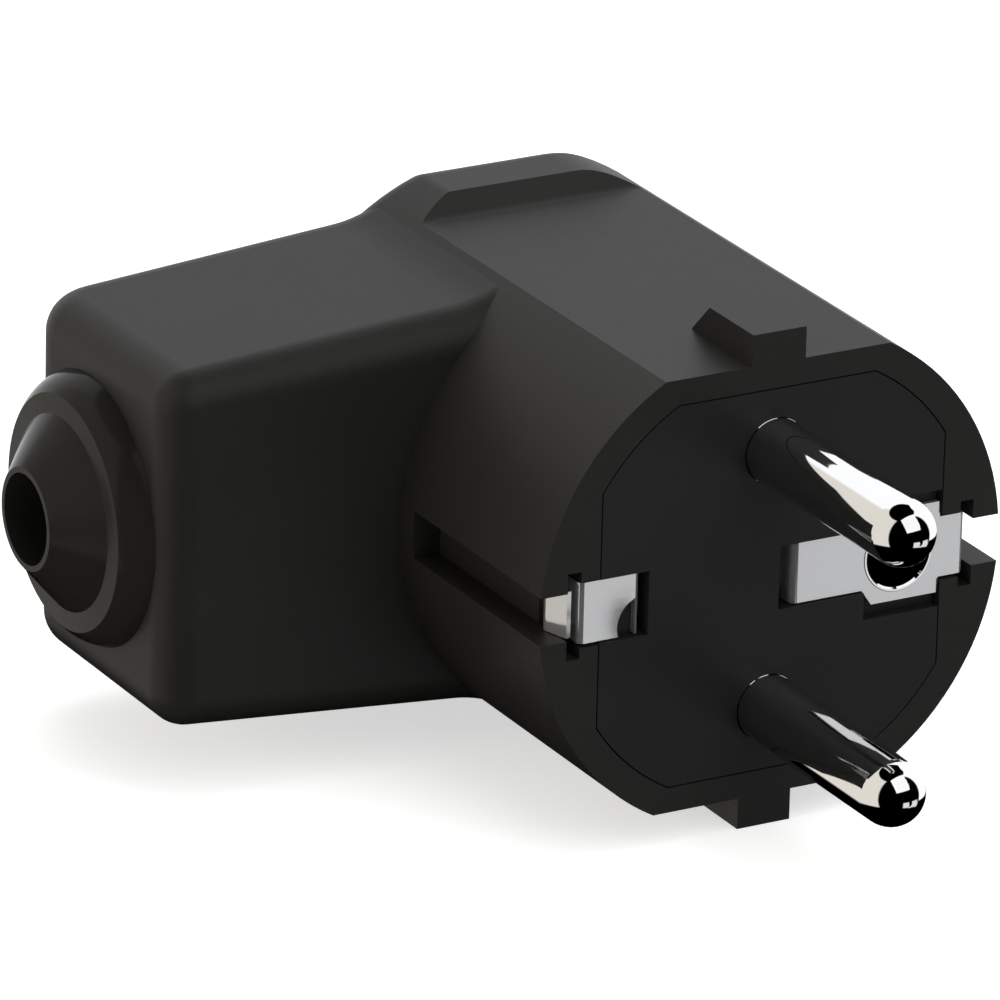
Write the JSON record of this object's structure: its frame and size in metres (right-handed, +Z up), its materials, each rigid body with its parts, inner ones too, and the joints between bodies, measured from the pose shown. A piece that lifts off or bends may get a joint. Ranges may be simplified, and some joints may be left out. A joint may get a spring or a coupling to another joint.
{
  "type": "angled plug",
  "caption": "Black angled mains plug with two round pins, an earth socket and side earth clips, and a cable gland on its side.",
  "frame": {"origin": "centre of the face that meets the outlet, midway between the two pins", "axes": "+Y from the face into the plug, so the pins point to -Y; +Z up, along the line through both pins; -X is the way the cord leaves"},
  "size_m": [0.0595, 0.0614, 0.0366],
  "materials": {
    "moulded_black": "fine grain",
    "insert_black": "fine grain",
    "gland_black": "smooth, glossy",
    "seal_rubber": "matt",
    "nickel_plated": "polished plating",
    "tinned_sheet": "rolled sheet, satin",
    "steel_screw": "zinc plated",
    "brass": "turned"
  },
  "bodies": {
    "root": {"housing": "moulded_black", "contact_insert": "insert_black", "line_pin": "nickel_plated", "neutral_pin": "nickel_plated", "line_terminal_screw": "steel_screw", "neutral_terminal_screw": "steel_screw", "earth_strip": "tinned_sheet", "earth_socket_bush": "nickel_plated", "earth_terminal_screw": "steel_screw", "earth_clamp_washer": "steel_screw", "earth_terminal_nut": "brass", "housing_screw_upper": "steel_screw", "housing_screw_lower": "steel_screw", "insert_bush_upper": "brass", "insert_bush_lower": "brass", "cord_clamp": "insert_black", "cord_clamp_screw_upper": "steel_screw", "cord_clamp_screw_lower": "steel_screw", "cable_gland": "gland_black", "gland_seal": "seal_rubber", "gland_lock_ring": "insert_black"}
  },
  "joints": []
}
